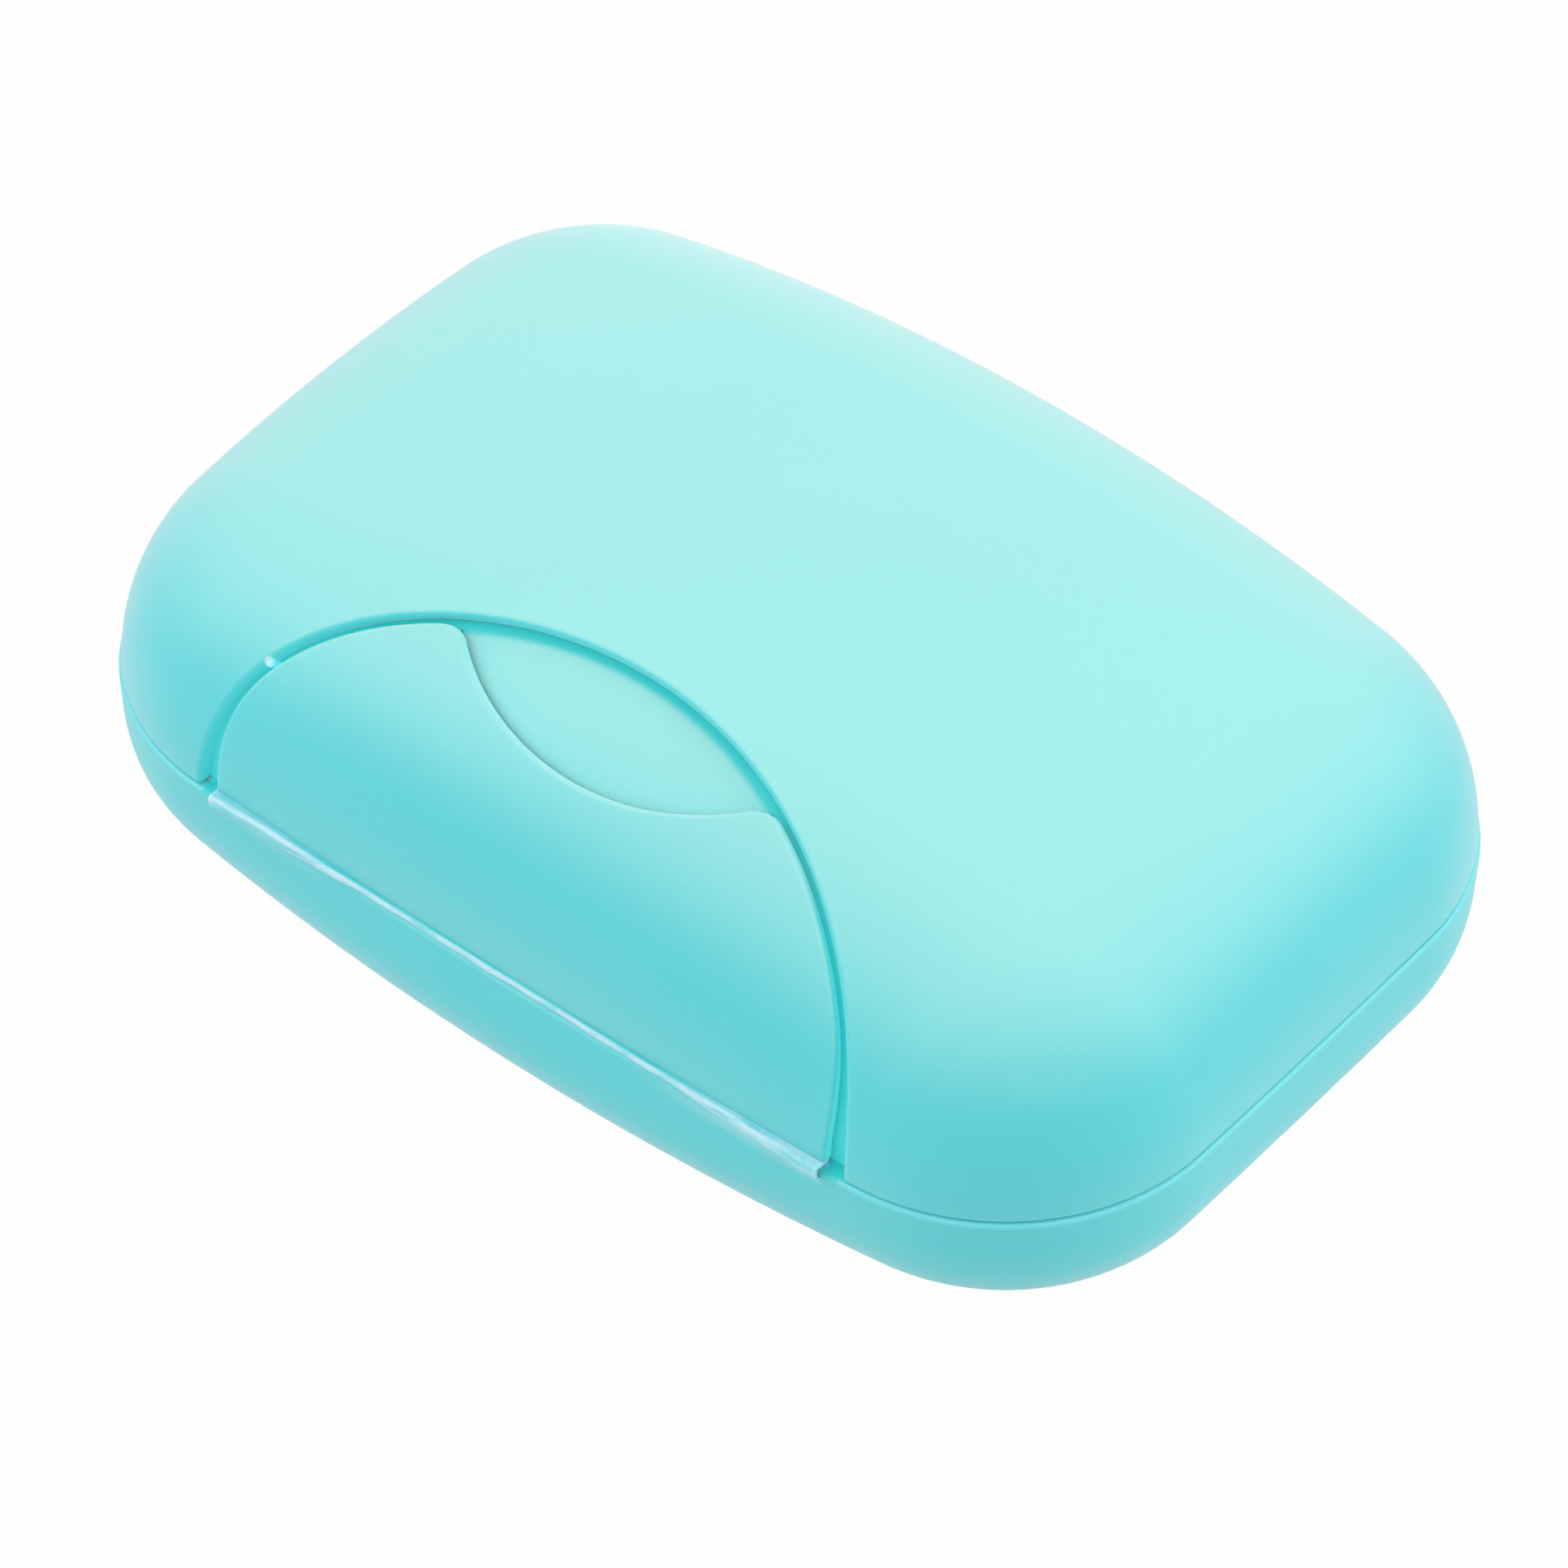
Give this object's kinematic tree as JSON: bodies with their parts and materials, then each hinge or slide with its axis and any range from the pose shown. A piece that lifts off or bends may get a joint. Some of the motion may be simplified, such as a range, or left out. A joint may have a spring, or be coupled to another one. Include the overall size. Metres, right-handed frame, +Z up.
{
  "type": "travel soap box",
  "caption": "Rounded travel soap box with a ribbed drain tray, a domed hinged lid and a curved front latch flap lying flush in a recess of the lid, all on living hinges.",
  "frame": {"origin": "centre of the flat rest face under the tray, on the floor plane", "axes": "+X along the long side, to the right when the latch flap is seen from the front; +Y to the rear, towards the lid's hinge; +Z up"},
  "size_m": [0.11, 0.0755, 0.0394],
  "materials": {
    "aqua_plastic": "satin aqua polypropylene, slightly translucent",
    "hinge_film": "the same plastic, whitened where it folds",
    "seal": "soft translucent silicone"
  },
  "bodies": {
    "base": {"base_shell": "aqua_plastic", "seal_ring": "seal", "latch_hinge_web": "hinge_film", "lid_hinge_web_left": "hinge_film", "lid_hinge_web_right": "hinge_film"},
    "lid": {"lid_shell": "aqua_plastic"},
    "latch": {"latch_flap": "aqua_plastic"}
  },
  "joints": [
    {"name": "lid_hinge", "type": "hinge", "parent": "base", "child": "lid", "pos_m": [0, 0.0374, 0.0155], "axis": [-1, 0, 0], "range_deg": [0, 110], "deforming": ["lid_hinge_web_left", "lid_hinge_web_right"]},
    {"name": "latch_hinge", "type": "hinge", "parent": "base", "child": "latch", "pos_m": [0, -0.0367, 0.01585], "axis": [1, 0, 0], "range_deg": [0, 110], "deforming": ["latch_hinge_web"]}
  ]
}
